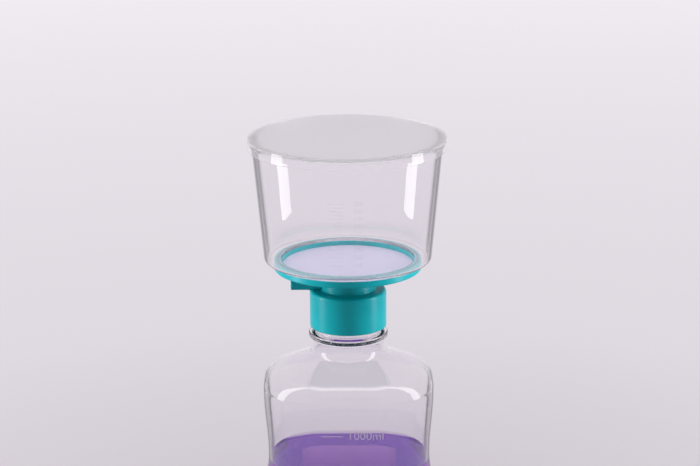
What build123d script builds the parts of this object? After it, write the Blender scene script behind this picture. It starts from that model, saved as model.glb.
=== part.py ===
from build123d import *
import math
import os

os.makedirs("parts", exist_ok=True)

# Bottle-top vacuum filter on its receiver bottle. Millimetres, Z up, the origin at the
# centre of the bottle's foot. The hose nozzle points along -X.

# ---- Bottle ----
bottle_height = 194.0        # foot to mouth
bottle_wall = 1.5
foot_width = 116.0           # left to right, low down
waist_width = 107.0
chest_width = 112.0          # above the waist
body_depth = 92.0            # front to back; the flat front and back have no waist
corner_radius = 28.0         # of the body, seen from above
waist_height = 86.5
waist_blend_below = 38.0     # height over which the waist swells to the foot
chest_band = 3.4             # straight band between the waist's swell and the shoulder
body_sections = 9            # levels that the waist's curve is lofted through
arc_sections = 3             # levels through the rounding above the chest
slope_sections = 6           # levels up the shoulder's slope
least_flat = 0.4             # middle of a side that stays flat at the neck
foot_rounding = 10.0
punt_radius = 32.0           # dished centre of the foot
punt_depth = 3.0
shoulder_slope = 32.0        # degrees below horizontal, to the left and right
shoulder_rounding = 7.0      # where the shoulder turns into the body
neck_height = 38.5           # mouth down to where the shoulder meets the neck
finish_radius = 21.2         # root of the 45 mm screw neck
finish_wall = 2.3
neck_step = 2.2              # the neck below the support ring is this much wider
support_ring_lip = 4.8       # the ring stands this far out of the screw neck's root
support_ring_drop = 27.4     # mouth down to the ring's underside
support_ring_thickness = 3.2
support_ring_rounding = 0.9
neck_blend = 0.8             # neck into the underside of the support ring
mouth_rounding = 0.6
bore_rounding = 2.0          # where the bore narrows inside the support ring

# ---- Filtrate ----
filtrate_level = 81.9
filtrate_gap = 0.2           # between the liquid's solid and the bottle's wall

# ---- Sealing ring ----
seal_thickness = 2.0
seal_edge_clearance = 0.4    # its outer edge in the collar
seal_tube_clearance = 0.1    # its inner edge round the neck tube

# ---- Filter base ----
thread_room = 1.6            # between the collar's bore and the root of the screw neck
collar_wall = 2.3
collar_web = 2.3
collar_ring_gap = 3.7        # its open end above the bottle's support ring
collar_rounding = 2.0
collar_lip_rounding = 0.6    # outer edge of the open end
neck_tube_clearance = 1.4    # in the bottle's mouth
neck_tube_wall = 2.2
dish_lift = 20.1             # collar's top to the dish's rim
dish_radius = 48.05
dish_rim_height = 5.6
dish_rim_wall = 4.85         # outside of the rim to the membrane's seat
dish_seat_depth = 3.2        # rim top down to the membrane's seat
dish_floor = 2.0             # web under the drainage channels
dish_edge_rounding = 0.8     # lower edge of the rim
channel_depth = 1.0          # drainage channels at the dish's edge
channel_fall = 1.8           # how much lower they are at the outlet
seat_land = 2.2              # flat ring that the membrane's edge is sealed to
rib_count = 24
rib_thickness = 1.0
support_circles = 3
spout_radius = 6.5
spout_bore_radius = 4.6
spout_length = 34.0          # below the dish's floor
spout_rounding = 0.5
tube_blend = 1.5             # neck tube into the dish's underside
base_blend = 1.0             # other inside corners of the base
gusset_count = 8
gusset_thickness = 1.4
gusset_reach = 20.0          # outward from the neck tube, under the dish
gusset_depth = 6.0           # at the neck tube, below the rim's lower edge
gusset_flat = 1.0            # level stretch of its lower edge, beside the neck tube

# ---- Hose nozzle ----
nozzle_reach = 37.5          # axis of the unit to the nozzle's end
nozzle_radius = 4.0
nozzle_taper = 0.8           # its root is this much wider
nozzle_bore_radius = 2.4
nozzle_seat_length = 10.0    # straight length that the hose grips
nozzle_chamfer = 0.5
nozzle_sink = 0.8            # underside of the hose's seat, below the collar's top

# ---- Membrane ----
membrane_thickness = 0.3
membrane_clearance = 0.2

# ---- Funnel ----
funnel_height = 80.1         # floor's underside to the rim
funnel_wall = 2.0
funnel_overhang = 6.35       # the foot stands this far outside the dish
funnel_flare = 7.5           # the mouth is this much wider than the foot
funnel_foot_rounding = 3.2
funnel_floor = 1.8
funnel_lip = 1.0             # the rim stands this far out of the wall
funnel_rim_thickness = 2.0
funnel_edge = 0.4            # rounding of the rim and of the floor's opening
weld_setting = 2.4           # middle of the welded tongue, outside the membrane's seat
weld_width = 1.2
weld_depth = 1.4
weld_clearance = 0.1

# ---- Lid ----
lid_plate = 2.1
lid_skirt = 5.2              # below the plate
lid_clearance = 0.3          # between the skirt and the funnel's rim
lid_skirt_wall = 0.9
lid_flare = 0.5              # the skirt is this much wider at its mouth
lid_rounding = 0.7

# ---- All mouldings ----
fine_edge = 0.3              # rounding of edges that nothing else names

# ---- Levels and radii that follow ----
shoulder_top = bottle_height - neck_height
support_ring_height = bottle_height - support_ring_drop
support_ring_top = support_ring_height + support_ring_thickness
neck_radius = finish_radius + neck_step
support_ring_radius = finish_radius + support_ring_lip
mouth_bore_radius = finish_radius - finish_wall
shoulder_tilt = math.radians(shoulder_slope)
shoulder_arc_centre = chest_width / 2 - shoulder_rounding
shoulder_foot_radius = shoulder_arc_centre + shoulder_rounding * math.sin(shoulder_tilt)
shoulder_foot = shoulder_top - (shoulder_foot_radius - neck_radius) * math.tan(shoulder_tilt)
chest_top = shoulder_foot - shoulder_rounding * math.cos(shoulder_tilt)
waist_blend_above = chest_top - chest_band - waist_height
collar_inner_radius = finish_radius + thread_room
collar_outer_radius = collar_inner_radius + collar_wall
neck_tube_radius = mouth_bore_radius - neck_tube_clearance
seal_outer_radius = collar_inner_radius - seal_edge_clearance
seal_inner_radius = neck_tube_radius + seal_tube_clearance
seal_top = bottle_height + seal_thickness
collar_top = seal_top + collar_web
collar_bottom = support_ring_top + collar_ring_gap
rim_top = collar_top + dish_lift
rim_bottom = rim_top - dish_rim_height
seat_level = rim_top - dish_seat_depth
dish_seat_radius = dish_radius - dish_rim_wall
weld_radius = dish_seat_radius + weld_setting
channel_radius = dish_seat_radius - seat_land
channel_edge = seat_level - channel_depth
channel_outlet = channel_edge - channel_fall
spout_bottom = channel_outlet - spout_length
funnel_top = rim_top + funnel_height
funnel_foot_radius = dish_radius + funnel_overhang
funnel_mouth_radius = funnel_foot_radius + funnel_flare
funnel_rim_radius = funnel_mouth_radius + funnel_lip
nozzle_height = collar_top - nozzle_sink + nozzle_radius
nozzle_root_radius = nozzle_radius + nozzle_taper


def turned(corners):
    """Solid of revolution about Z. Each corner is (radius, height, rounding)."""
    points = [(radius, height) for radius, height, _ in corners]
    roundings = [rounding for _, _, rounding in corners]
    outline = make_face(FilletPolyline(*points, radius=roundings, close=True))
    return revolve(Plane.XZ * outline, Axis.Z)


def ring(outer, inner, bottom, top):
    """Plain ring about Z, or a disc where the inner radius is 0."""
    on_foot = (Align.CENTER, Align.CENTER, Align.MIN)
    body = Cylinder(outer, top - bottom, align=on_foot)
    if inner > 0:
        body -= Cylinder(inner, top - bottom, align=on_foot)
    return Pos(0, 0, bottom) * body


def body_half_width(height):
    """Half the body's width, left to right: the waist is two cosine swells."""
    if height < waist_height:
        widest, blend = foot_width, waist_blend_below
    else:
        widest, blend = chest_width, waist_blend_above
    reach = min(abs(height - waist_height) / blend, 1.0)
    swell = (1 - math.cos(math.pi * reach)) / 2
    return (waist_width + (widest - waist_width) * swell) / 2


def section(half_width, half_depth, radius, height):
    """Rounded rectangle at a height; a corner radius near both half sizes makes it round."""
    return Pos(0, 0, height) * RectangleRounded(2 * half_width, 2 * half_depth, radius)


def shoulder_path(inset):
    """Half widths and heights from the chest up to the neck, for a skin this far inside."""
    rounding = shoulder_rounding - inset
    neck = neck_radius - inset
    line_top = shoulder_top + inset * (math.tan(shoulder_tilt) - 1 / math.cos(shoulder_tilt))
    line_foot = shoulder_arc_centre + rounding * math.sin(shoulder_tilt)
    line_foot_height = chest_top + rounding * math.cos(shoulder_tilt)
    path = []
    for step in range(arc_sections + 1):
        turn = (math.pi / 2 - shoulder_tilt) * step / arc_sections
        width = shoulder_arc_centre + rounding * math.cos(turn)
        path.append((width, chest_top + rounding * math.sin(turn)))
    for step in range(1, slope_sections + 1):
        share = step / slope_sections
        width = line_foot + (neck - line_foot) * share
        path.append((width, line_foot_height + (line_top - line_foot_height) * share))
    return path


def bottle_form(inset):
    """The bottle's body and shoulder as a solid; with the wall as the inset, the space inside."""
    half_depth = body_depth / 2 - inset
    corner = corner_radius - inset
    foot_top = waist_height - waist_blend_below
    foot = extrude(section(foot_width / 2 - inset, half_depth, corner, inset), foot_top - inset)
    foot = fillet(foot.edges().group_by(Axis.Z)[0], foot_rounding - inset)
    body = []
    for step in range(body_sections + 1):
        height = foot_top + (chest_top - foot_top) * step / body_sections
        body.append(section(body_half_width(height) - inset, half_depth, corner, height))
    path = shoulder_path(inset)
    neck, path_top = path[-1]
    shoulder = []
    for half_width, height in path:
        share = (half_width - neck) / (path[0][0] - neck)
        depth = neck + (half_depth - neck) * share
        squareness = ((path_top - height) / (path_top - chest_top)) ** 3
        flat = (half_depth - corner) * squareness + least_flat / 2 * (1 - squareness)
        shoulder.append(section(half_width, depth, depth - flat, height))
    rounding = loft(shoulder[:arc_sections + 1])
    slope = loft(shoulder[arc_sections:], ruled=True)
    return foot + loft(body) + rounding + slope


def punt(growth):
    """Ball that dishes the centre of the foot; the growth is the wall above it."""
    ball_radius = (punt_radius**2 + punt_depth**2) / (2 * punt_depth)
    return Pos(0, 0, punt_depth - ball_radius) * Sphere(ball_radius + growth)


def make_bottle():
    neck_bore = neck_radius - bottle_wall
    bore_shoulder = support_ring_height - bottle_wall
    neck = turned([
        (0, shoulder_top, 0),
        (neck_radius, shoulder_top, 0),
        (neck_radius, support_ring_height, neck_blend),
        (support_ring_radius, support_ring_height, support_ring_rounding),
        (support_ring_radius, support_ring_top, support_ring_rounding),
        (finish_radius, support_ring_top, mouth_rounding),
        (finish_radius, bottle_height, mouth_rounding),
        (0, bottle_height, 0),
    ])
    bore = turned([
        (0, shoulder_top - 2 * bottle_wall, 0),
        (neck_bore, shoulder_top - 2 * bottle_wall, 0),
        (neck_bore, bore_shoulder, bore_rounding),
        (mouth_bore_radius, bore_shoulder + neck_bore - mouth_bore_radius, bore_rounding),
        (mouth_bore_radius, bottle_height, 0),
        (0, bottle_height, 0),
    ])
    inside = bottle_form(bottle_wall) - punt(bottle_wall)
    return bottle_form(0) + neck - punt(0) - inside - bore


def make_filtrate():
    inset = bottle_wall + filtrate_gap
    headroom = ring(foot_width, 0, filtrate_level, bottle_height)
    return bottle_form(inset) - punt(inset) - headroom


def make_sealing_ring():
    return ring(seal_outer_radius, seal_inner_radius, bottle_height, seal_top)


def base_shell():
    """Dish, spout, neck tube and collar: everything of the filter base that is turned."""
    tube_bore = neck_tube_radius - neck_tube_wall
    groove_inner = weld_radius - weld_width / 2 - weld_clearance
    groove_outer = weld_radius + weld_width / 2 + weld_clearance
    groove_floor = rim_top - weld_depth - weld_clearance
    fall = channel_fall / (channel_radius - spout_bore_radius)
    underside_at_tube = channel_edge - fall * (channel_radius - neck_tube_radius) - dish_floor
    return turned([
        (collar_inner_radius, collar_bottom, fine_edge),
        (collar_outer_radius, collar_bottom, collar_lip_rounding),
        (collar_outer_radius, collar_top, collar_rounding),
        (neck_tube_radius, collar_top, base_blend),
        (neck_tube_radius, underside_at_tube, tube_blend),
        (channel_radius, channel_edge - dish_floor, 0),
        (dish_seat_radius, rim_bottom, 0),
        (dish_radius, rim_bottom, dish_edge_rounding),
        (dish_radius, rim_top, fine_edge),
        (groove_outer, rim_top, 0),
        (groove_outer, groove_floor, 0),
        (groove_inner, groove_floor, 0),
        (groove_inner, rim_top, 0),
        (dish_seat_radius, rim_top, fine_edge),
        (dish_seat_radius, seat_level, 0),
        (channel_radius, seat_level, 0),
        (channel_radius, channel_edge, 0),
        (spout_bore_radius, channel_outlet, base_blend),
        (spout_bore_radius, spout_bottom, 0),
        (spout_radius, spout_bottom, spout_rounding),
        (spout_radius, underside_at_tube, base_blend),
        (tube_bore, underside_at_tube, base_blend),
        (tube_bore, seal_top, 0),
        (collar_inner_radius, seal_top, fine_edge),
    ])


def drainage_ribs():
    """Radial ribs and broken circles that hold the membrane off the dish's floor."""
    rib_depth = seat_level - channel_outlet
    ribs = []
    for step in range(rib_count):
        inner = spout_radius if step % 2 == 0 else channel_radius / 2
        length = channel_radius - inner
        rib = Pos(inner + length / 2, 0, seat_level - rib_depth / 2) * Box(length, rib_thickness, rib_depth)
        ribs.append(Rot(0, 0, 360 / rib_count * step) * rib)
    for step in range(1, support_circles + 1):
        radius = spout_radius + (channel_radius - spout_radius) * step / (support_circles + 1)
        circle = ring(radius + rib_thickness / 2, radius - rib_thickness / 2, channel_outlet, seat_level)
        gap = Box(2 * channel_radius, 2 * rib_thickness, 4 * rib_depth)
        for turn in range(rib_count // 2):
            circle -= Pos(0, 0, seat_level) * Rot(0, 0, 360 / rib_count * (turn + 0.5)) * gap
        ribs.append(circle)
    return ribs


def gussets():
    """Webs under the dish that brace it on the neck tube."""
    root = neck_tube_radius - neck_tube_wall / 2
    tip = neck_tube_radius + gusset_reach
    outline = make_face(Polyline(
        (root, rim_bottom),
        (root, rim_bottom - gusset_depth),
        (neck_tube_radius + gusset_flat, rim_bottom - gusset_depth),
        (tip, rim_bottom),
        close=True,
    ))
    web = extrude(Plane.XZ * outline, gusset_thickness / 2, both=True)
    return [Rot(0, 0, 360 / gusset_count * (step + 0.5)) * web for step in range(gusset_count)]


def hose_nozzle():
    """Nozzle for the vacuum hose, along -X, and its bore as a second solid."""
    root = neck_tube_radius - neck_tube_wall / 2
    straight_end = nozzle_reach - nozzle_seat_length
    outline = make_face(Polyline(
        (root, 0),
        (root, nozzle_root_radius),
        (straight_end, nozzle_radius),
        (nozzle_reach, nozzle_radius),
        (nozzle_reach, 0),
        close=True,
    ))
    nozzle = revolve(Plane.XZ * outline, Axis.X)
    nozzle = chamfer(nozzle.edges().filter_by(GeomType.CIRCLE).sort_by(Axis.X)[-1], nozzle_chamfer)
    bore_start = neck_tube_radius - 2 * neck_tube_wall
    bore_length = nozzle_reach - bore_start
    bore = Pos(bore_start + bore_length / 2, 0, 0) * Rot(0, 90, 0) * Cylinder(nozzle_bore_radius, bore_length)
    place = Pos(0, 0, nozzle_height) * Rot(0, 0, 180)
    return place * nozzle, place * bore


def make_filter_base():
    nozzle, nozzle_bore = hose_nozzle()
    base = base_shell()
    for piece in drainage_ribs() + gussets():
        base += piece
    return base + nozzle - nozzle_bore


def make_membrane():
    return ring(dish_seat_radius - membrane_clearance, 0, seat_level, seat_level + membrane_thickness)


def make_funnel():
    draft = (funnel_mouth_radius - funnel_foot_radius) / funnel_height
    rim_underside = funnel_top - funnel_rim_thickness
    floor_inner = dish_seat_radius + membrane_clearance
    weld_inner = weld_radius - weld_width / 2
    weld_outer = weld_radius + weld_width / 2
    return turned([
        (floor_inner, rim_top, 0),
        (weld_inner, rim_top, 0),
        (weld_inner, rim_top - weld_depth, 0),
        (weld_outer, rim_top - weld_depth, 0),
        (weld_outer, rim_top, 0),
        (funnel_foot_radius, rim_top, funnel_foot_rounding),
        (funnel_mouth_radius - draft * funnel_rim_thickness, rim_underside, funnel_edge),
        (funnel_rim_radius, rim_underside, funnel_edge),
        (funnel_rim_radius, funnel_top, funnel_edge),
        (funnel_mouth_radius - funnel_wall, funnel_top, funnel_edge),
        (funnel_foot_radius - funnel_wall, rim_top + funnel_floor, funnel_foot_rounding - funnel_floor),
        (floor_inner, rim_top + funnel_floor, funnel_edge),
    ])


def make_lid():
    skirt_inner = funnel_rim_radius + lid_clearance
    skirt_bottom = funnel_top - lid_skirt
    return turned([
        (0, funnel_top + lid_plate, 0),
        (skirt_inner + lid_skirt_wall, funnel_top + lid_plate, lid_rounding),
        (skirt_inner + lid_skirt_wall + lid_flare, skirt_bottom, fine_edge),
        (skirt_inner + lid_flare, skirt_bottom, fine_edge),
        (skirt_inner, funnel_top, fine_edge),
        (0, funnel_top, 0),
    ])


nodes = {
    "bottle": make_bottle(),
    "filtrate": make_filtrate(),
    "sealing_ring": make_sealing_ring(),
    "filter_base": make_filter_base(),
    "membrane": make_membrane(),
    "funnel": make_funnel(),
    "lid": make_lid(),
}
for name, shape in nodes.items():
    export_step(shape, f"parts/{name}.step")
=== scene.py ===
import math

import bpy
from mathutils import Matrix, Vector

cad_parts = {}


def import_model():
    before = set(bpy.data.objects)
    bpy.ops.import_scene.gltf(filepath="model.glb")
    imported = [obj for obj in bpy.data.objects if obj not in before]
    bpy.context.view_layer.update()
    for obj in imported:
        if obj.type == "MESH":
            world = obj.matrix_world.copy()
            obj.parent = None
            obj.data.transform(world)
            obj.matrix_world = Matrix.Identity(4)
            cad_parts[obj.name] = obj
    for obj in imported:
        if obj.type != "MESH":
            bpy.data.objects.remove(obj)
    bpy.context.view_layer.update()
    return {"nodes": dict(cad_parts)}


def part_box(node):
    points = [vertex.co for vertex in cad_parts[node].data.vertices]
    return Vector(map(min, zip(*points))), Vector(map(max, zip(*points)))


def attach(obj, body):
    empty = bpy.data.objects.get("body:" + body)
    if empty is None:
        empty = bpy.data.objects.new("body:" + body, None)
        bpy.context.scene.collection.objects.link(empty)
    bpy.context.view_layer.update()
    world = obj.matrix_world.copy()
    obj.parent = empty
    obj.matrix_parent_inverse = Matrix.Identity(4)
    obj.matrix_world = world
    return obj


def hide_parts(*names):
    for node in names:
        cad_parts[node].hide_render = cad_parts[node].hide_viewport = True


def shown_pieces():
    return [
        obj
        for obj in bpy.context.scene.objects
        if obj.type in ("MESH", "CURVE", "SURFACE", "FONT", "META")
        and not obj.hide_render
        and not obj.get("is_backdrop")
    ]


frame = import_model()

# A bottle-top vacuum filter on its receiver bottle. Shapes are worked out in millimetres and
# turned into metres when a mesh is made. Z is up and the hose nozzle points along -X.
MM = 0.001
ROUND_STEPS = 240            # points round every turned or lofted piece
ARC_STEP = math.radians(12)  # longest step along a rounding
EDGE_SHARE = 0.49            # of an edge, the most that the rounding at one end may take
SHARP_ANGLE = math.radians(35)

# ---- Bottle ----
BOTTLE_WALL = 1.5
FOOT_WIDTH = 116.0           # left to right, low down
WAIST_WIDTH = 107.0
CHEST_WIDTH = 112.0
BODY_DEPTH = 92.0            # front to back
WAIST_DEPTH = 86.0
CORNER_RADIUS = 38.0
WAIST_HEIGHT = 86.5
WAIST_BLEND_BELOW = 38.0
WAIST_BLEND_ABOVE = 44.0
FOOT_ROUNDING = 10.0
FOOT_STEPS = 9
PUNT_RADIUS = 32.0
PUNT_DEPTH = 3.0
PUNT_STEPS = 8
SIDE_SLOPE = math.radians(24)
SIDE_ROUNDING = 13.0
FRONT_SLOPE = math.radians(31)
FRONT_ROUNDING = 9.0
SHOULDER_STEPS = 16
SHOULDER_DROP = 37.6         # mouth down to where the shoulder meets the neck
NECK_RADIUS = 23.4
NECK_FOOT_BLEND = 6.0
NECK_FOOT_STEPS = 10
SUPPORT_RING_RADIUS = 26.0
SUPPORT_RING_DROP = 27.4     # mouth down to its underside
SUPPORT_RING_THICKNESS = 3.2
SUPPORT_RING_EDGE = 0.9
UNDER_RING_BLEND = 0.8
FINISH_RADIUS = 21.2
FINISH_EDGE = 0.6
MOUTH_BORE_RADIUS = 18.9
MOUTH_BORE_EDGE = 0.3
BORE_STEP_EDGE = 2.0         # where the bore widens below the support ring
BODY_ROW = 2.0               # height between the rows of the body's mesh

# ---- Screw thread ----
THREAD_PITCH = 4.0
THREAD_TURNS = 3.0
THREAD_DEPTH = 1.2
THREAD_BASE = 2.2
THREAD_CREST = 0.8
THREAD_DROP = 17.5           # mouth down to the lower end of the neck's thread
THREAD_FADE = 0.12           # turns over which it rises from the wall
THREAD_ROW = 0.28            # height between the rows of the finish's mesh
ROWS_ABOVE_RING = 1.0        # where those rows begin, above the support ring
ROWS_BELOW_MOUTH = 0.8       # and where they end
COLLAR_BORE_RADIUS = 22.8
COLLAR_THREAD_DEPTH = 1.1
COLLAR_THREAD_LIFT = 0.02    # how far its ends still stand out of the bore
COLLAR_THREAD_ROOT = 0.3     # share of its depth that is sunk into the collar
COLLAR_THREAD_STEPS = 72     # for each turn

# ---- Filtrate ----
LIQUID_BITE = 0.15           # how far the liquid's mesh enters the wall, so that no air shows
MENISCUS_HEIGHT = 1.3
MENISCUS_WIDTH = 3.0
MENISCUS_STEPS = 8
MIDDLE_CORNER = 1.0          # corner radius of the ring round the middle of its surface

# ---- Funnel ----
FUNNEL_WALL = 2.0
FUNNEL_FOOT_RADIUS = 54.4
FUNNEL_MOUTH_RADIUS = 61.9
FUNNEL_FOOT_ROUNDING = 3.2
FUNNEL_FLOOR = 1.8
FUNNEL_OPENING_RADIUS = 43.4
FUNNEL_RIM_RADIUS = 62.9
FUNNEL_RIM_THICKNESS = 2.0
FUNNEL_EDGE = 0.4

# ---- Lid ----
LID_PLATE = 2.1
LID_SKIRT_INNER = 63.2
LID_SKIRT_WALL = 0.9
LID_FLARE = 0.5
LID_ROUNDING = 0.7
LID_EDGE = 0.3
SEAT_GAP = 0.02              # air between clear plastic and what it lies on


# ---------------------------------------------------------------- outlines and meshes

def rounded(corners):
    """Points of an outline of (radius, height, rounding) corners; an open one's ends are sharp."""
    points = []
    for index, (x, z, rounding) in enumerate(corners):
        here = Vector((x, z))
        if rounding == 0:
            points.append(here)
            continue
        before = Vector(corners[index - 1][:2]) - here
        after = Vector(corners[(index + 1) % len(corners)][:2]) - here
        half = before.angle(after) / 2
        reach = min(rounding / math.tan(half), EDGE_SHARE * before.length, EDGE_SHARE * after.length)
        radius = reach * math.tan(half)
        middle = (before.normalized() + after.normalized()).normalized()
        centre = here + middle * (radius / math.sin(half))
        start = here + before.normalized() * reach - centre
        end = here + after.normalized() * reach - centre
        sweep = start.angle_signed(end)
        steps = max(2, math.ceil(abs(sweep) / ARC_STEP))
        for step in range(steps + 1):
            points.append(centre + Matrix.Rotation(-sweep * step / steps, 2) @ start)
    return [(point.x, point.y) for point in points]


def skin(name, rings, closed):
    """Mesh through rings of points; a ring of one point is a pole. Closed joins last to first."""
    vertices = []
    starts = []
    for ring in rings:
        starts.append(len(vertices))
        vertices += ring
    faces = []
    pairs = list(zip(range(len(rings)), range(1, len(rings))))
    if closed:
        pairs.append((len(rings) - 1, 0))
    for low, high in pairs:
        count = max(len(rings[low]), len(rings[high]))
        for step in range(count):
            after = (step + 1) % count
            face = []
            for ring, order in ((low, (step, after)), (high, (after, step))):
                if len(rings[ring]) == 1:
                    face.append(starts[ring])
                else:
                    face += [starts[ring] + place for place in order]
            faces.append(face)
    mesh = bpy.data.meshes.new(name)
    mesh.from_pydata([Vector(vertex) * MM for vertex in vertices], [], faces)
    return mesh


def ring_of(distance, height):
    """One ring of a mesh: distance(angle) from the axis, at height(angle)."""
    points = []
    for step in range(ROUND_STEPS):
        angle = 2 * math.pi * step / ROUND_STEPS
        reach = distance(angle)
        points.append((reach * math.cos(angle), reach * math.sin(angle), height(angle)))
    return points


def circle(radius, height):
    if radius < 1e-6:
        return [(0, 0, height)]
    return ring_of(lambda angle: radius, lambda angle: height)


def oblong(half_width, half_depth, corner, height):
    """Ring along a rounded rectangle, with its points at even angles about the axis."""
    flat_x = half_width - corner
    flat_y = half_depth - corner

    def distance(angle):
        right = abs(math.cos(angle))
        away = abs(math.sin(angle))
        if half_width * away <= flat_y * right:
            return half_width / right
        if half_depth * right <= flat_x * away:
            return half_depth / away
        along = flat_x * right + flat_y * away
        return along + math.sqrt(max(along**2 - flat_x**2 - flat_y**2 + corner**2, 0))
    return ring_of(distance, lambda angle: height)


def piece(name, mesh, body, material, replaced=()):
    """Object of the mesh, riding on a body; it stands in for the CAD nodes it replaces."""
    thing = bpy.data.objects.new(name, mesh)
    bpy.context.scene.collection.objects.link(thing)
    mesh.materials.append(material)
    mesh.polygons.foreach_set("use_smooth", [True] * len(mesh.polygons))
    mesh.set_sharp_from_angle(angle=SHARP_ANGLE)
    weighted = thing.modifiers.new("weighted", "WEIGHTED_NORMAL")
    weighted.keep_sharp = True
    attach(thing, body)
    if replaced:
        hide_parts(*replaced)


def levels(node):
    """Lowest and highest level of a CAD node, in millimetres."""
    low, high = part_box(node)
    return low.z / MM, high.z / MM


MOUTH = levels("bottle")[1]
SHOULDER_TOP = MOUTH - SHOULDER_DROP
SUPPORT_RING_HEIGHT = MOUTH - SUPPORT_RING_DROP
THREAD_START = MOUTH - THREAD_DROP
LIQUID_LEVEL = levels("filtrate")[1]
FUNNEL_FOOT = levels("filter_base")[1]
FUNNEL_TOP = levels("funnel")[1]
LID_BOTTOM, LID_TOP = levels("lid")


# ---------------------------------------------------------------- bottle and liquid

def waisted(height, waist, below, above):
    """Half a size of the body at a height: two cosine swells, down and up from the waist."""
    if height < WAIST_HEIGHT:
        widest, blend = below, WAIST_BLEND_BELOW
    else:
        widest, blend = above, WAIST_BLEND_ABOVE
    reach = min(abs(height - WAIST_HEIGHT) / blend, 1.0)
    swell = (1 - math.cos(math.pi * reach)) / 2
    return (waist + (widest - waist) * swell) / 2


def body_half_width(height):
    return waisted(height, WAIST_WIDTH, FOOT_WIDTH, CHEST_WIDTH)


def body_half_depth(height):
    return waisted(height, WAIST_DEPTH, BODY_DEPTH, BODY_DEPTH)


def body_ring(inset, height, outline_height=None):
    """Ring this far inside the body's skin, as the skin runs at the outline's height."""
    level = height if outline_height is None else outline_height
    half_width = body_half_width(level) - inset
    return oblong(half_width, body_half_depth(level) - inset, CORNER_RADIUS - inset, height)


def punt_rings(inset):
    """Dished centre of the foot, from the axis out to where it meets the foot's flat."""
    ball = (PUNT_RADIUS**2 + PUNT_DEPTH**2) / (2 * PUNT_DEPTH)
    centre = PUNT_DEPTH - ball
    reach = math.sqrt((ball + inset)**2 - (inset - centre)**2)
    rings = []
    for step in range(PUNT_STEPS + 1):
        radius = reach * step / PUNT_STEPS
        rings.append(circle(radius, centre + math.sqrt((ball + inset)**2 - radius**2)))
    return rings


def foot_rings(inset):
    """Flat of the foot and its rounding, up to the straight side."""
    rounding = FOOT_ROUNDING - inset
    rings = []
    for step in range(FOOT_STEPS + 1):
        turn = math.pi / 2 * step / FOOT_STEPS
        drawn_in = inset + rounding * (1 - math.sin(turn))
        height = inset + rounding * (1 - math.cos(turn))
        rings.append(body_ring(drawn_in, height, 0))
    return rings


def body_rings(inset, low, high):
    """Waisted body between two heights, without its first ring."""
    steps = max(1, math.ceil((high - low) / BODY_ROW))
    rings = []
    for step in range(1, steps + 1):
        height = low + (high - low) * step / steps
        rings.append(body_ring(inset, height))
    return rings


def shoulder_profile(inset, chest_reach, slope, rounding):
    """Distances from the axis and heights of the shoulder, from the chest to the neck."""
    rounding -= inset
    arc_centre = chest_reach - inset - rounding
    neck = NECK_RADIUS - inset
    line_top = SHOULDER_TOP + inset * (math.tan(slope) - 1 / math.cos(slope))
    line_foot = arc_centre + rounding * math.sin(slope)
    line_foot_height = line_top - (line_foot - neck) * math.tan(slope)
    arc_height = line_foot_height - rounding * math.cos(slope)
    path = []
    for step in range(SHOULDER_STEPS + 1):
        turn = (math.pi / 2 - slope) * step / SHOULDER_STEPS
        path.append((arc_centre + rounding * math.cos(turn), arc_height + rounding * math.sin(turn)))
    blend = NECK_FOOT_BLEND + inset
    blend_reach = blend * math.tan((math.pi / 2 - slope) / 2)
    centre = (neck + blend, line_top + blend_reach)
    for step in range(NECK_FOOT_STEPS + 1):
        turn = (math.pi / 2 - slope) * (1 - step / NECK_FOOT_STEPS)
        path.append((centre[0] - blend * math.cos(turn), centre[1] - blend * math.sin(turn)))
    return path


def side_profile(inset):
    return shoulder_profile(inset, CHEST_WIDTH / 2, SIDE_SLOPE, SIDE_ROUNDING)


def front_profile(inset):
    return shoulder_profile(inset, BODY_DEPTH / 2, FRONT_SLOPE, FRONT_ROUNDING)


def reach_at(profile, height):
    """Distance from the axis that a profile has at a height."""
    if height <= profile[0][1]:
        return profile[0][0]
    for (near, low), (far, high) in zip(profile, profile[1:]):
        if height <= high:
            return near + (far - near) * (height - low) / (high - low)
    return profile[-1][0]


def shoulder_rings(inset):
    """Rings of the shoulder, turning from the rounded rectangle to the round neck."""
    side = side_profile(inset)
    front = front_profile(inset)
    chest = side[0][1]
    top = max(side[-1][1], front[-1][1])
    heights = sorted({round(height, 4) for _, height in side + front})
    rings = []
    for height in heights:
        half_width = reach_at(side, height)
        half_depth = reach_at(front, height)
        flat = (BODY_DEPTH / 2 - CORNER_RADIUS) * ((top - height) / (top - chest)) ** 2
        rings.append(oblong(half_width, half_depth, min(half_width, half_depth) - flat, height))
    return rings


def thread_lift(angle, height):
    """How far the neck's right-hand thread stands out of the wall there."""
    turn = angle / (2 * math.pi)
    lap = round((height - THREAD_START) / THREAD_PITCH - turn)
    along = turn + lap
    if not 0 <= along <= THREAD_TURNS:
        return 0.0
    off = abs(height - THREAD_START - THREAD_PITCH * along)
    flank = (THREAD_BASE / 2 - off) / ((THREAD_BASE - THREAD_CREST) / 2)
    fade = min(along, THREAD_TURNS - along) / THREAD_FADE
    return THREAD_DEPTH * min(max(flank, 0.0), 1.0) * min(fade, 1.0)


def threaded_rings(low, high):
    """Rows round the finish, close enough together to show its thread."""
    rings = []
    steps = math.ceil((high - low) / THREAD_ROW)
    for step in range(steps + 1):
        row = low + (high - low) * step / steps
        rings.append(ring_of(
            lambda angle: FINISH_RADIUS + thread_lift(angle, row),
            lambda angle: row,
        ))
    return rings


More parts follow.
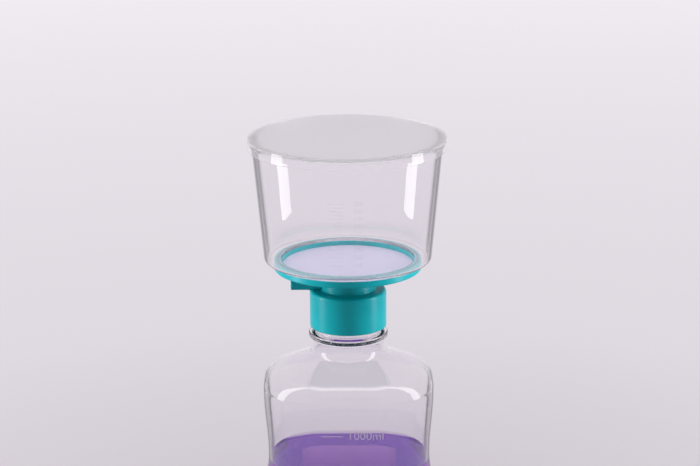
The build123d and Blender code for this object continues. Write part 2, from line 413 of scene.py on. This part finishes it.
def neck_rings():
    """Outside of the neck from the shoulder up over the mouth's edge, thread included."""
    ring_top = SUPPORT_RING_HEIGHT + SUPPORT_RING_THICKNESS
    outline = rounded([
        (NECK_RADIUS, SHOULDER_TOP, 0),
        (NECK_RADIUS, SUPPORT_RING_HEIGHT, UNDER_RING_BLEND),
        (SUPPORT_RING_RADIUS, SUPPORT_RING_HEIGHT, SUPPORT_RING_EDGE),
        (SUPPORT_RING_RADIUS, ring_top, SUPPORT_RING_EDGE),
        (FINISH_RADIUS, ring_top, FINISH_EDGE),
        (FINISH_RADIUS, MOUTH, FINISH_EDGE),
        (MOUTH_BORE_RADIUS, MOUTH, MOUTH_BORE_EDGE),
        (MOUTH_BORE_RADIUS, SHOULDER_TOP, 0),
    ])
    rings = []
    # The one long straight part of the finish carries the thread.
    for here, following in zip(outline[1:-1], outline[2:]):
        rings.append(circle(*here))
        on_finish = all(abs(radius - FINISH_RADIUS) < 0.01 for radius, _ in (here, following))
        if on_finish and following[1] - here[1] > THREAD_PITCH:
            rings += threaded_rings(ring_top + ROWS_ABOVE_RING, MOUTH - ROWS_BELOW_MOUTH)
    return rings


def bore_rings():
    """Inside of the neck, from the mouth's edge down to the shoulder."""
    neck_bore = NECK_RADIUS - BOTTLE_WALL
    step_foot = SUPPORT_RING_HEIGHT - BOTTLE_WALL
    step_top = step_foot + neck_bore - MOUTH_BORE_RADIUS
    outline = rounded([
        (MOUTH_BORE_RADIUS, MOUTH, 0),
        (MOUTH_BORE_RADIUS, step_top, BORE_STEP_EDGE),
        (neck_bore, step_foot, BORE_STEP_EDGE),
        (neck_bore, SHOULDER_TOP, 0),
    ])
    return [circle(radius, height) for radius, height in outline[1:-1]]


def bottle_mesh():
    chest = side_profile(0)[0][1]
    outside = punt_rings(0) + foot_rings(0) + body_rings(0, FOOT_ROUNDING, chest)
    outside += shoulder_rings(0)[1:] + neck_rings()
    chest = side_profile(BOTTLE_WALL)[0][1]
    inside = punt_rings(BOTTLE_WALL) + foot_rings(BOTTLE_WALL)
    inside += body_rings(BOTTLE_WALL, FOOT_ROUNDING, chest) + shoulder_rings(BOTTLE_WALL)[1:]
    return skin("bottle_clear", outside + bore_rings() + inside[::-1], closed=False)


def liquid_mesh():
    """The filtrate: the bottle's inside up to its level, with a meniscus at the wall."""
    inset = BOTTLE_WALL - LIQUID_BITE
    climb = LIQUID_LEVEL + MENISCUS_HEIGHT
    rings = punt_rings(inset) + foot_rings(inset) + body_rings(inset, FOOT_ROUNDING, climb)
    for step in range(1, MENISCUS_STEPS + 1):
        share = step / MENISCUS_STEPS
        height = LIQUID_LEVEL + MENISCUS_HEIGHT * (1 - share) ** 3
        rings.append(body_ring(inset + MENISCUS_WIDTH * share, height, climb))
    rings.append(body_ring(CORNER_RADIUS - MIDDLE_CORNER, LIQUID_LEVEL, climb))
    rings.append(circle(0, LIQUID_LEVEL))
    return skin("filtrate_liquid", rings, closed=False)


# ---------------------------------------------------------------- funnel, lid and thread

def turned(name, corners, on_axis):
    """Mesh of revolution. An outline on the axis starts and ends there; another one is closed."""
    return skin(name, [circle(radius, height) for radius, height in rounded(corners)], not on_axis)


def funnel_mesh():
    """Funnel as one closed outline, turned: up the outside, down the inside."""
    foot = FUNNEL_FOOT + SEAT_GAP
    top = FUNNEL_TOP
    draft = (FUNNEL_MOUTH_RADIUS - FUNNEL_FOOT_RADIUS) / (top - foot)
    rim_underside = top - FUNNEL_RIM_THICKNESS
    return turned("funnel_clear", [
        (FUNNEL_OPENING_RADIUS, foot, FUNNEL_EDGE),
        (FUNNEL_FOOT_RADIUS, foot, FUNNEL_FOOT_ROUNDING),
        (FUNNEL_MOUTH_RADIUS - draft * FUNNEL_RIM_THICKNESS, rim_underside, FUNNEL_EDGE),
        (FUNNEL_RIM_RADIUS, rim_underside, FUNNEL_EDGE),
        (FUNNEL_RIM_RADIUS, top, FUNNEL_EDGE),
        (FUNNEL_MOUTH_RADIUS - FUNNEL_WALL, top, FUNNEL_EDGE),
        (FUNNEL_FOOT_RADIUS - FUNNEL_WALL, foot + FUNNEL_FLOOR, FUNNEL_FOOT_ROUNDING - FUNNEL_FLOOR),
        (FUNNEL_OPENING_RADIUS, foot + FUNNEL_FLOOR, FUNNEL_EDGE),
    ], on_axis=False)


def lid_mesh():
    """Lid from its underside's middle, round the flared skirt and back over its top."""
    underside = LID_TOP - LID_PLATE + SEAT_GAP
    outer = LID_SKIRT_INNER + LID_SKIRT_WALL
    return turned("lid_clear", [
        (0, underside, 0),
        (LID_SKIRT_INNER, underside, LID_EDGE),
        (LID_SKIRT_INNER + LID_FLARE, LID_BOTTOM, LID_EDGE),
        (outer + LID_FLARE, LID_BOTTOM, LID_EDGE),
        (outer, LID_TOP, LID_ROUNDING),
        (0, LID_TOP, 0),
    ], on_axis=True)


def collar_thread_mesh():
    """Ridge inside the collar, half a pitch from the neck's, on the same helix."""
    flat_crest = THREAD_CREST / THREAD_BASE
    profile = [(-COLLAR_THREAD_ROOT, -1), (0, -1), (1, -flat_crest),
               (1, flat_crest), (0, 1), (-COLLAR_THREAD_ROOT, 1)]
    steps = int(THREAD_TURNS * COLLAR_THREAD_STEPS)
    rings = []
    for step in range(steps + 1):
        along = THREAD_TURNS * step / steps
        angle = 2 * math.pi * along
        fade = min(along, THREAD_TURNS - along) / THREAD_FADE
        depth = COLLAR_THREAD_DEPTH * min(fade, 1.0) + COLLAR_THREAD_LIFT
        middle = THREAD_START + THREAD_PITCH * (along + 0.5)
        ring = []
        for inward, off in profile:
            reach = COLLAR_BORE_RADIUS - depth * inward
            height = middle + off * THREAD_BASE / 2
            ring.append((reach * math.cos(angle), reach * math.sin(angle), height))
        rings.append(ring)
    return skin("collar_thread", rings, closed=False)


# ---------------------------------------------------------------- graduations

def wrapped(mesh, place):
    """Lays a flat mesh (x to the right, y up, z out of the surface) onto a surface."""
    for vertex in mesh.vertices:
        vertex.co = Vector(place(vertex.co.x, vertex.co.y, vertex.co.z)) * MM
    return mesh


LETTERING_STEPS = 4          # into which each curve of a letter is divided


def text_mesh(words, size, depth):
    """Flat relief lettering, from the built-in face, its left end at x = 0."""
    curve = bpy.data.curves.new("lettering", "FONT")
    curve.body = words
    curve.size = size
    curve.extrude = depth / 2
    curve.align_x = "LEFT"
    curve.align_y = "CENTER"
    curve.resolution_u = LETTERING_STEPS
    carrier = bpy.data.objects.new("lettering", curve)
    mesh = bpy.data.meshes.new_from_object(carrier)
    bpy.data.objects.remove(carrier)
    bpy.data.curves.remove(curve)
    mesh.materials.clear()
    return mesh


def bar(width, height, depth, x, y):
    """Vertices and faces of one raised bar, its middle at x and y."""
    vertices = []
    for out in (-depth / 2, depth / 2):
        for right, up in ((-1, -1), (1, -1), (1, 1), (-1, 1)):
            vertices.append((x + right * width / 2, y + up * height / 2, out))
    faces = [(3, 2, 1, 0), (4, 5, 6, 7)]
    for corner in range(4):
        following = (corner + 1) % 4
        faces.append((corner, following, following + 4, corner + 4))
    return vertices, faces


def joined(name, meshes, bars):
    """One mesh of several relief meshes and bars."""
    vertices = []
    faces = []
    for mesh in meshes:
        start = len(vertices)
        vertices += [tuple(vertex.co) for vertex in mesh.vertices]
        faces += [[start + index for index in polygon.vertices] for polygon in mesh.polygons]
        bpy.data.meshes.remove(mesh)
    for points, sides in bars:
        start = len(vertices)
        vertices += points
        faces += [[start + index for index in side] for side in sides]
    mesh = bpy.data.meshes.new(name)
    mesh.from_pydata(vertices, [], faces)
    return mesh


CUBIC_MM_PER_ML = 1000
RELIEF_DEPTH = 0.2
RELIEF_LIFT = 0.02           # from the wall out to the middle of the relief's depth
FUNNEL_SCALE_TOP = 500       # millilitres at the highest mark
FUNNEL_SCALE_FOOT = 100
FUNNEL_SCALE_STEP = 50
FUNNEL_TOP_MARK = 271.0      # its height
FUNNEL_MARK = (9.5, 0.45, -7.5)          # length, thickness, and its middle, right of the axis
FUNNEL_MINOR_MARK = (5.0, 0.35, -5.3)
FUNNEL_MINOR_DROP = 2.6      # a mark down to the minor mark below it
FUNNEL_LETTERING = (4.2, 3.5)            # size, and its left end, right of the axis

BOTTLE_SCALE_TOP = 1000
BOTTLE_SCALE_FOOT = 250
BOTTLE_SCALE_STEP = 250
BOTTLE_TOP_MARK = 111.9
BOTTLE_MARK = (14.0, 0.5, -11.0)
BOTTLE_LETTERING = (8.0, -1.0)


def mark_heights(top, foot, step, top_mark, area):
    """Volumes and heights of the marks, stepped down through the inside's cross-section."""
    marks = []
    height = top_mark
    for volume in range(top, foot - 1, -step):
        marks.append((volume, height))
        height -= step * CUBIC_MM_PER_ML / area(height)
    return marks


def mark(shape, height):
    length, thickness, middle = shape
    return bar(length, thickness, RELIEF_DEPTH, middle, height)


def numeral(words, lettering, height):
    size, start = lettering
    mesh = text_mesh(words, size, RELIEF_DEPTH)
    for vertex in mesh.vertices:
        vertex.co += Vector((start, height, 0))
    return mesh


def funnel_inner_radius(height):
    draft = (FUNNEL_MOUTH_RADIUS - FUNNEL_FOOT_RADIUS) / (FUNNEL_TOP - FUNNEL_FOOT)
    return FUNNEL_FOOT_RADIUS - FUNNEL_WALL + draft * (height - FUNNEL_FOOT)


def funnel_area(height):
    return math.pi * funnel_inner_radius(height) ** 2


def on_funnel(across, up, out):
    """Place on the funnel's outer wall at the front."""
    radius = funnel_inner_radius(up) + FUNNEL_WALL
    angle = -math.pi / 2 + across / radius
    radius += out + RELIEF_LIFT
    return (radius * math.cos(angle), radius * math.sin(angle), up)


def funnel_scale_mesh():
    marks = mark_heights(FUNNEL_SCALE_TOP, FUNNEL_SCALE_FOOT, FUNNEL_SCALE_STEP, FUNNEL_TOP_MARK,
                         funnel_area)
    numerals = []
    bars = []
    for volume, height in marks:
        bars.append(mark(FUNNEL_MARK, height))
        bars.append(mark(FUNNEL_MINOR_MARK, height - FUNNEL_MINOR_DROP))
        numerals.append(numeral(str(volume), FUNNEL_LETTERING, height))
    return wrapped(joined("funnel_scale", numerals, bars), on_funnel)


def bottle_area(height):
    half_width = body_half_width(height) - BOTTLE_WALL
    half_depth = body_half_depth(height) - BOTTLE_WALL
    corner = CORNER_RADIUS - BOTTLE_WALL
    return 4 * half_width * half_depth - (4 - math.pi) * corner**2


def on_bottle(across, up, out):
    """Place on the front of the bottle."""
    return (across, -body_half_depth(up) - out - RELIEF_LIFT, up)


def bottle_scale_mesh():
    marks = mark_heights(BOTTLE_SCALE_TOP, BOTTLE_SCALE_FOOT, BOTTLE_SCALE_STEP, BOTTLE_TOP_MARK,
                         bottle_area)
    numerals = []
    bars = []
    for volume, height in marks:
        words = f"{volume}ml" if volume == BOTTLE_SCALE_TOP else str(volume)
        bars.append(mark(BOTTLE_MARK, height))
        numerals.append(numeral(words, BOTTLE_LETTERING, height))
    return wrapped(joined("bottle_scale", numerals, bars), on_bottle)


# ---------------------------------------------------------------- materials

NOISE_LOW = 0.3              # most of a noise lies between these two
NOISE_HIGH = 0.7
UPRIGHT_UP_TO = 0.45         # rise of a surface's normal that still counts as upright
LEVEL_FROM = 0.75            # and from which it counts as level
BELOW_FADE = 0.006


class Nodes:
    """Short hand for the node tree of a material or the world, emptied but for its output."""

    def __init__(self, owner, output_kind="ShaderNodeOutputMaterial"):
        owner.use_nodes = True
        self.owner = owner
        self.tree = owner.node_tree
        self.tree.nodes.clear()
        self.output = self.add(output_kind)

    def add(self, kind, **settings):
        node = self.tree.nodes.new(kind)
        for key, value in settings.items():
            setattr(node, key, value)
        return node

    def link(self, source, target):
        self.tree.links.new(source, target)

    def combine(self, operation, first, second):
        """Math on two sockets."""
        node = self.add("ShaderNodeMath", operation=operation)
        self.link(first, node.inputs[0])
        self.link(second, node.inputs[1])
        return node.outputs["Value"]

    def noise(self, scale, detail=2.0, roughness=0.5):
        place = self.add("ShaderNodeTexCoord")
        noise = self.add("ShaderNodeTexNoise")
        noise.inputs["Scale"].default_value = scale
        noise.inputs["Detail"].default_value = detail
        noise.inputs["Roughness"].default_value = roughness
        self.link(place.outputs["Object"], noise.inputs["Vector"])
        return noise.outputs["Fac"]

    def spread(self, source, low, high, start=0.0, end=1.0):
        """Maps start..end to low..high."""
        node = self.add("ShaderNodeMapRange")
        node.inputs["From Min"].default_value = start
        node.inputs["From Max"].default_value = end
        node.inputs["To Min"].default_value = low
        node.inputs["To Max"].default_value = high
        self.link(source, node.inputs["Value"])
        return node.outputs["Result"]

    def ramp(self, source, stops):
        node = self.add("ShaderNodeValToRGB")
        ramp = node.color_ramp
        while len(ramp.elements) < len(stops):
            ramp.elements.new(0.5)
        for element, (position, colour) in zip(ramp.elements, stops):
            element.position = position
            element.color = (*colour, 1)
        self.link(source, node.inputs["Fac"])
        return node.outputs["Color"]

    def mottle(self, noise, dark, light):
        """Colour that drifts between two shades with a noise."""
        return self.ramp(noise, [(NOISE_LOW, dark), (NOISE_HIGH, light)])

    def bump(self, height, strength, distance):
        node = self.add("ShaderNodeBump")
        node.inputs["Strength"].default_value = strength
        node.inputs["Distance"].default_value = distance
        self.link(height, node.inputs["Height"])
        return node.outputs["Normal"]

    def vertical_part(self, source):
        parts = self.add("ShaderNodeSeparateXYZ")
        self.link(source, parts.inputs["Vector"])
        return parts.outputs["Z"]

    def upright(self):
        """1 on upright walls, falling to 0 on level surfaces."""
        geometry = self.add("ShaderNodeNewGeometry")
        steepness = self.add("ShaderNodeMath", operation="ABSOLUTE")
        self.link(self.vertical_part(geometry.outputs["Normal"]), steepness.inputs[0])
        return self.spread(steepness.outputs["Value"], 1.0, 0.0, UPRIGHT_UP_TO, LEVEL_FROM)

    def below(self, top):
        """1 below a height of the piece, in metres, fading to 0 over the next few millimetres."""
        place = self.add("ShaderNodeTexCoord")
        height = self.vertical_part(place.outputs["Object"])
        return self.spread(height, 1.0, 0.0, top, top + BELOW_FADE)

    def surface(self, shader):
        self.link(shader, self.output.inputs["Surface"])

    def mixed_surface(self, first, second):
        """Puts two shaders on the surface, and returns the input that shares them out."""
        mixed = self.add("ShaderNodeMixShader")
        self.link(first, mixed.inputs[1])
        self.link(second, mixed.inputs[2])
        self.surface(mixed.outputs["Shader"])
        return mixed.inputs["Fac"]

    def clear_to_shadows(self, shader, tint):
        """Puts the shader on the surface, with shadow rays let straight through."""
        path = self.add("ShaderNodeLightPath")
        passing = self.add("ShaderNodeBsdfTransparent")
        passing.inputs["Color"].default_value = (*tint, 1)
        share = self.mixed_surface(shader.outputs["BSDF"], passing.outputs["BSDF"])
        self.link(path.outputs["Is Shadow Ray"], share)

    def absorption(self, colour, density):
        volume = self.add("ShaderNodeVolumeAbsorption")
        volume.inputs["Color"].default_value = (*colour, 1)
        volume.inputs["Density"].default_value = density
        self.link(volume.outputs["Volume"], self.output.inputs["Volume"])


CLEAR_IOR = 1.57
CLEAR_BODY = (0.975, 0.968, 0.978)
CLEAR_PASSES = (0.48, 0.42, 0.5)         # share of each colour that its depth spares
CLEAR_SHADE = (0.93, 0.925, 0.935)       # what its shadow lets through
ALL_HEIGHTS = 1.0            # metres, taller than the object
# Painted shade: colours that upright clear walls darken to where they are seen edge on, the lid's a
# lighter grey.
WALL_EDGE_SHADE = (0.02, 0.016, 0.022)
LID_EDGE_SHADE = (0.8, 0.78, 0.81)


def clear_material(name, waves, edge, edge_range, density, haze,
                   level_haze=0.0, edge_top=ALL_HEIGHTS):
    """Clear polystyrene: faint haze and waves, and painted shade, a darker tint where an upright wall
    is seen edge on.

    waves is their scale and depth, edge the colour of that painted shade, edge_range the facing
    from which it sets in and at which it is full, haze the least and most roughness, level_haze what
    level surfaces add to it, and edge_top the height in metres up to which the walls get the painted
    shade.
    """
    nodes = Nodes(bpy.data.materials.new(name))
    shader = nodes.add("ShaderNodeBsdfPrincipled")
    shader.inputs["Transmission Weight"].default_value = 1.0
    shader.inputs["IOR"].default_value = CLEAR_IOR
    facing = nodes.add("ShaderNodeLayerWeight")
    facing.inputs["Blend"].default_value = 0.5
    edge_on = nodes.spread(facing.outputs["Facing"], 0.0, 1.0, *edge_range)
    upright = nodes.upright()
    on_wall = nodes.combine("MULTIPLY", edge_on, upright)
    amount = nodes.combine("MULTIPLY", on_wall, nodes.below(edge_top))
    # Painted shade: the body colour darkens towards the edge colour on upright walls seen edge on,
    # below the given height.
    tint = nodes.ramp(amount, [(0.0, CLEAR_BODY), (1.0, edge)])
    nodes.link(tint, shader.inputs["Base Color"])
    cloudy = nodes.spread(nodes.noise(scale=90.0), *haze)
    roughness = nodes.combine("ADD", cloudy, nodes.spread(upright, level_haze, 0.0))
    nodes.link(roughness, shader.inputs["Roughness"])
    wave_scale, wave_depth = waves
    swell = nodes.noise(wave_scale, detail=1.0)
    nodes.link(nodes.bump(swell, strength=1.0, distance=wave_depth), shader.inputs["Normal"])
    nodes.clear_to_shadows(shader, CLEAR_SHADE)
    nodes.absorption(CLEAR_PASSES, density)
    return nodes.owner


# Darkest and lightest shade of each material that a noise mottles.
TEAL_SHADES = ((0.001, 0.24, 0.27), (0.002, 0.27, 0.30))
MEMBRANE_SHADES = ((0.66, 0.65, 0.82), (0.76, 0.75, 0.93))
SEAL_SHADES = ((0.66, 0.66, 0.64), (0.74, 0.74, 0.72))
LIQUID_SHADES = ((0.95, 0.9, 0.98), (0.98, 0.95, 1.0))
RELIEF_SHADES = ((0.80, 0.78, 0.82), (0.92, 0.90, 0.93))


def teal_material():
    """Moulded polypropylene with a fine grain and slight colour drift."""
    nodes = Nodes(bpy.data.materials.new("teal_moulded"))
    shader = nodes.add("ShaderNodeBsdfPrincipled")
    drift = nodes.noise(scale=55.0, detail=3.0)
    tint = nodes.mottle(drift, *TEAL_SHADES)
    nodes.link(tint, shader.inputs["Base Color"])
    grain = nodes.noise(scale=900.0, detail=2.0)
    nodes.link(nodes.spread(grain, low=0.24, high=0.36), shader.inputs["Roughness"])
    nodes.link(nodes.bump(grain, strength=0.12, distance=0.0002), shader.inputs["Normal"])
    shader.inputs["IOR"].default_value = 1.49
    shader.inputs["Specular IOR Level"].default_value = 0.12
    nodes.surface(shader.outputs["BSDF"])
    return nodes.owner


def membrane_material():
    """Matt filter membrane: fine fibrous pores, nearly white."""
    nodes = Nodes(bpy.data.materials.new("membrane_felt"))
    shader = nodes.add("ShaderNodeBsdfPrincipled")
    pores = nodes.noise(scale=2600.0, detail=5.0, roughness=0.7)
    tint = nodes.mottle(pores, *MEMBRANE_SHADES)
    nodes.link(tint, shader.inputs["Base Color"])
    shader.inputs["Roughness"].default_value = 0.75
    nodes.link(nodes.bump(pores, strength=0.25, distance=0.0002), shader.inputs["Normal"])
    shader.inputs["Sheen Weight"].default_value = 0.1
    nodes.surface(shader.outputs["BSDF"])
    return nodes.owner


def seal_material():
    """Soft, pale silicone with a slightly dusty surface."""
    nodes = Nodes(bpy.data.materials.new("seal_silicone"))
    shader = nodes.add("ShaderNodeBsdfPrincipled")
    dust = nodes.noise(scale=700.0, detail=3.0)
    tint = nodes.mottle(dust, *SEAL_SHADES)
    nodes.link(tint, shader.inputs["Base Color"])
    nodes.link(nodes.spread(dust, low=0.45, high=0.6), shader.inputs["Roughness"])
    nodes.surface(shader.outputs["BSDF"])
    return nodes.owner


LIQUID_IOR = 1.334
LIQUID_DENSITY = 28.0
LIQUID_PASSES = (0.65, 0.0, 0.87)
LIQUID_SHADE = (0.97, 0.95, 0.98)        # what its shadow lets through
WET_SHINE = 0.15             # share of its skin's reflection left, as most of it wets the wall


def liquid_material():
    """Clear purple filtrate, coloured through its depth."""
    nodes = Nodes(bpy.data.materials.new("purple_filtrate"))
    shader = nodes.add("ShaderNodeBsdfPrincipled")
    shader.inputs["Transmission Weight"].default_value = 1.0
    shader.inputs["IOR"].default_value = LIQUID_IOR
    shader.inputs["Roughness"].default_value = 0.0
    cloud = nodes.noise(scale=14.0, detail=1.0)
    nodes.link(nodes.mottle(cloud, *LIQUID_SHADES), shader.inputs["Base Color"])
    shader.inputs["Specular Tint"].default_value = (WET_SHINE, WET_SHINE, WET_SHINE, 1)
    nodes.clear_to_shadows(shader, LIQUID_SHADE)
    nodes.absorption(LIQUID_PASSES, LIQUID_DENSITY)
    return nodes.owner


def relief_material(name, opacity):
    """Raised marks in the clear plastic, whitened by their fine texture."""
    nodes = Nodes(bpy.data.materials.new(name))
    white = nodes.add("ShaderNodeBsdfPrincipled")
    grain = nodes.noise(scale=2500.0, detail=2.0)
    tint = nodes.mottle(grain, *RELIEF_SHADES)
    nodes.link(tint, white.inputs["Base Color"])
    white.inputs["Roughness"].default_value = 0.35
    passing = nodes.add("ShaderNodeBsdfTransparent")
    share = nodes.mixed_surface(passing.outputs["BSDF"], white.outputs["BSDF"])
    share.default_value = opacity
    return nodes.owner


# ---------------------------------------------------------------- pieces

FUNNEL_MARKS_OPACITY = 0.06
BOTTLE_MARKS_OPACITY = 0.45
BOTTLE_EDGE_SHADE_TOP = 0.148      # metres, high on the shoulder; the bottle's painted edge shade stops here

funnel_clear = clear_material("clear_moulded", waves=(25.0, 0.00002), edge=WALL_EDGE_SHADE,
                              edge_range=(0.68, 0.78), density=16.0, haze=(0.0, 0.03))
lid_clear = clear_material("clear_lid", waves=(25.0, 0.00002), edge=LID_EDGE_SHADE,
                           edge_range=(0.80, 0.95), density=1.0, haze=(0.03, 0.06), level_haze=0.26)
bottle_clear = clear_material("clear_blown", waves=(40.0, 0.00006), edge=WALL_EDGE_SHADE,
                              edge_range=(0.70, 0.82), density=16.0, haze=(0.0, 0.03),
                              edge_top=BOTTLE_EDGE_SHADE_TOP)
teal = teal_material()
funnel_marks = relief_material("funnel_marks", FUNNEL_MARKS_OPACITY)
bottle_marks = relief_material("bottle_marks", BOTTLE_MARKS_OPACITY)

piece("bottle_clear", bottle_mesh(), "bottle", bottle_clear, ("bottle",))
piece("filtrate_liquid", liquid_mesh(), "bottle", liquid_material(), ("filtrate",))
piece("funnel_clear", funnel_mesh(), "head", funnel_clear, ("funnel",))
piece("lid_clear", lid_mesh(), "lid", lid_clear, ("lid",))
piece("collar_thread", collar_thread_mesh(), "head", teal)
piece("funnel_scale", funnel_scale_mesh(), "head", funnel_marks)
piece("bottle_scale", bottle_scale_mesh(), "bottle", bottle_marks)

for node, material in (("filter_base", teal), ("membrane", membrane_material()),
                       ("sealing_ring", seal_material())):
    thing = frame["nodes"][node]
    thing.data.materials.clear()
    thing.data.materials.append(material)


# ---------------------------------------------------------------- floor, light and camera
# Distances from here on are in metres.

FLOOR_RADIUS = 7.0
FLOOR_SIDES = 96
FLOOR_HEIGHT = -0.0002
FLOOR_FADE = 2.4             # distance from the object at which the painted shade ends and the floor is palest
# Painted shade: the floor's colour darkens towards the object, for the soft shade round its foot.
FLOOR_PAINTED_SHADE = (             # share of that distance, and the colour there
    (0.0, (0.54, 0.50, 0.55)),
    (0.22, (0.70, 0.660, 0.712)),
    (1.0, (0.84, 0.80, 0.85)),
)


def floor():
    """Pale floor with painted shade: its colour a little darker round the object than far away."""
    mesh = bpy.data.meshes.new("floor")
    corners = []
    for step in range(FLOOR_SIDES):
        angle = 2 * math.pi * step / FLOOR_SIDES
        corners.append((FLOOR_RADIUS * math.cos(angle), FLOOR_RADIUS * math.sin(angle), FLOOR_HEIGHT))
    mesh.from_pydata(corners, [], [tuple(range(FLOOR_SIDES))])
    ground = bpy.data.objects.new("floor", mesh)
    bpy.context.scene.collection.objects.link(ground)
    nodes = Nodes(bpy.data.materials.new("floor_paper_painted_shade"))
    shader = nodes.add("ShaderNodeBsdfDiffuse")
    place = nodes.add("ShaderNodeTexCoord")
    distance = nodes.add("ShaderNodeVectorMath", operation="LENGTH")
    nodes.link(place.outputs["Object"], distance.inputs[0])
    share = nodes.spread(distance.outputs["Value"], 0.0, 1.0, end=FLOOR_FADE)
    nodes.link(nodes.ramp(share, FLOOR_PAINTED_SHADE), shader.inputs["Color"])
    nodes.surface(shader.outputs["BSDF"])
    mesh.materials.append(nodes.owner)
    ground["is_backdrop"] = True
    return ground


WORLD_PALE = (0.85, 0.81, 0.86)
WORLD_TINT = (1.0, 0.97, 1.0)
WORLD_LIGHT = 0.18


def world():
    """Pale behind everything; a plain, even light on the object."""
    place = bpy.data.worlds.new("studio")
    bpy.context.scene.world = place
    nodes = Nodes(place, "ShaderNodeOutputWorld")
    seen = nodes.add("ShaderNodeBackground")
    seen.inputs["Color"].default_value = (*WORLD_PALE, 1)
    lit = nodes.add("ShaderNodeBackground")
    lit.inputs["Color"].default_value = (*WORLD_TINT, 1)
    lit.inputs["Strength"].default_value = WORLD_LIGHT
    path = nodes.add("ShaderNodeLightPath")
    sees_pale = path.outputs["Is Camera Ray"]
    for kind in ("Is Transmission Ray", "Is Glossy Ray"):
        sees_pale = nodes.combine("MAXIMUM", sees_pale, path.outputs[kind])
    share = nodes.mixed_surface(lit.outputs["Background"], seen.outputs["Background"])
    nodes.link(sees_pale, share)


STRIP_DISTANCE = 0.56
STRIP_WIDTH = 0.17
STRIP_FOOT = 0.035
STRIP_TOP = 1.3
STRIP_FORWARD = 0.073        # towards the camera
STRIP_TINT = (1.0, 0.99, 1.0)
CLEAR_RADIANCE = 4.2
BASE_RADIANCE = 17.0


def strip_light(name, side, radiance, lit_pieces):
    """Tall softbox standing beside the object; it lights only some pieces."""
    height = STRIP_TOP - STRIP_FOOT
    lamp = bpy.data.lights.new(name, "AREA")
    lamp.shape = "RECTANGLE"
    lamp.size = STRIP_WIDTH
    lamp.size_y = height
    lamp.energy = radiance * math.pi * STRIP_WIDTH * height
    lamp.color = STRIP_TINT
    holder = bpy.data.objects.new(name, lamp)
    bpy.context.scene.collection.objects.link(holder)
    holder.location = (side * STRIP_DISTANCE, -STRIP_FORWARD, STRIP_FOOT + height / 2)
    inward = Vector((-side, STRIP_FORWARD / STRIP_DISTANCE, 0))
    holder.rotation_euler = inward.to_track_quat("-Z", "Y").to_euler()
    holder.visible_camera = False
    holder.visible_transmission = False
    holder.light_linking.receiver_collection = lit_pieces


SKY_STRENGTH = 0.25 * math.pi
FLOOR_LIGHT = 0.88 * math.pi
SKY_SPREAD = math.radians(50)
SKY_TILT = math.radians(8)


def sky_light(name, strength, lit_pieces):
    """Broad soft light from overhead; it lights only some pieces."""
    lamp = bpy.data.lights.new(name, "SUN")
    lamp.energy = strength
    lamp.angle = SKY_SPREAD
    holder = bpy.data.objects.new(name, lamp)
    bpy.context.scene.collection.objects.link(holder)
    holder.rotation_euler = (SKY_TILT, 0, 0)
    holder.light_linking.receiver_collection = lit_pieces


def group(name, things):
    """Collection that lamps can be linked to."""
    collection = bpy.data.collections.new(name)
    for thing in things:
        collection.objects.link(thing)
    return collection


def lighting(ground):
    """Lamps for the teal base, the rest of the object and the floor; the membrane gets none."""
    lit = [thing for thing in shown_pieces() if thing.name != "membrane"]
    base = [thing for thing in lit if thing.name in ("filter_base", "collar_thread")]
    clear = [thing for thing in lit if thing not in base]
    clear_pieces = group("clear_pieces", clear)
    base_pieces = group("base_pieces", base)
    for end, side in (("left", -1), ("right", 1)):
        strip_light(f"strip_{end}", side, CLEAR_RADIANCE, clear_pieces)
        strip_light(f"strip_{end}_base", side, BASE_RADIANCE, base_pieces)
    sky_light("overhead", SKY_STRENGTH, group("object_pieces", lit))
    sky_light("overhead_floor", FLOOR_LIGHT, group("floor_pieces", [ground]))


CAMERA_DISTANCE = 1.43
CAMERA_PITCH = math.radians(15.8)
CAMERA_ROLL = math.radians(-0.35)
CAMERA_LENS = 113.1
CAMERA_SENSOR = 36.0
CAMERA_AIM = Vector((0.0015, 0, 0.2359))


def camera():
    """Camera in front of the object, looking slightly down."""
    lens = bpy.data.cameras.new("camera")
    lens.lens = CAMERA_LENS
    lens.sensor_width = CAMERA_SENSOR
    lens.clip_start = 0.05
    lens.clip_end = 50
    view = bpy.data.objects.new("camera", lens)
    bpy.context.scene.collection.objects.link(view)
    back = Vector((0, -math.cos(CAMERA_PITCH), math.sin(CAMERA_PITCH)))
    view.location = CAMERA_AIM + back * CAMERA_DISTANCE
    level_view = (-back).to_track_quat("-Z", "Y").to_matrix()
    rolled = level_view @ Matrix.Rotation(CAMERA_ROLL, 3, "Z")
    view.rotation_euler = rolled.to_euler()
    bpy.context.scene.camera = view


CLEAR_BOUNCES = 32           # enough for a ray through every wall of funnel, lid and bottle
GLOSSY_BOUNCES = 16


def render_settings():
    """Plain colours, and bounces enough for clear walls behind clear walls."""
    scene = bpy.context.scene
    scene.view_settings.view_transform = "Standard"
    scene.cycles.max_bounces = CLEAR_BOUNCES
    scene.cycles.transmission_bounces = CLEAR_BOUNCES
    scene.cycles.glossy_bounces = GLOSSY_BOUNCES
    scene.cycles.transparent_max_bounces = CLEAR_BOUNCES


world()
lighting(floor())
camera()
render_settings()
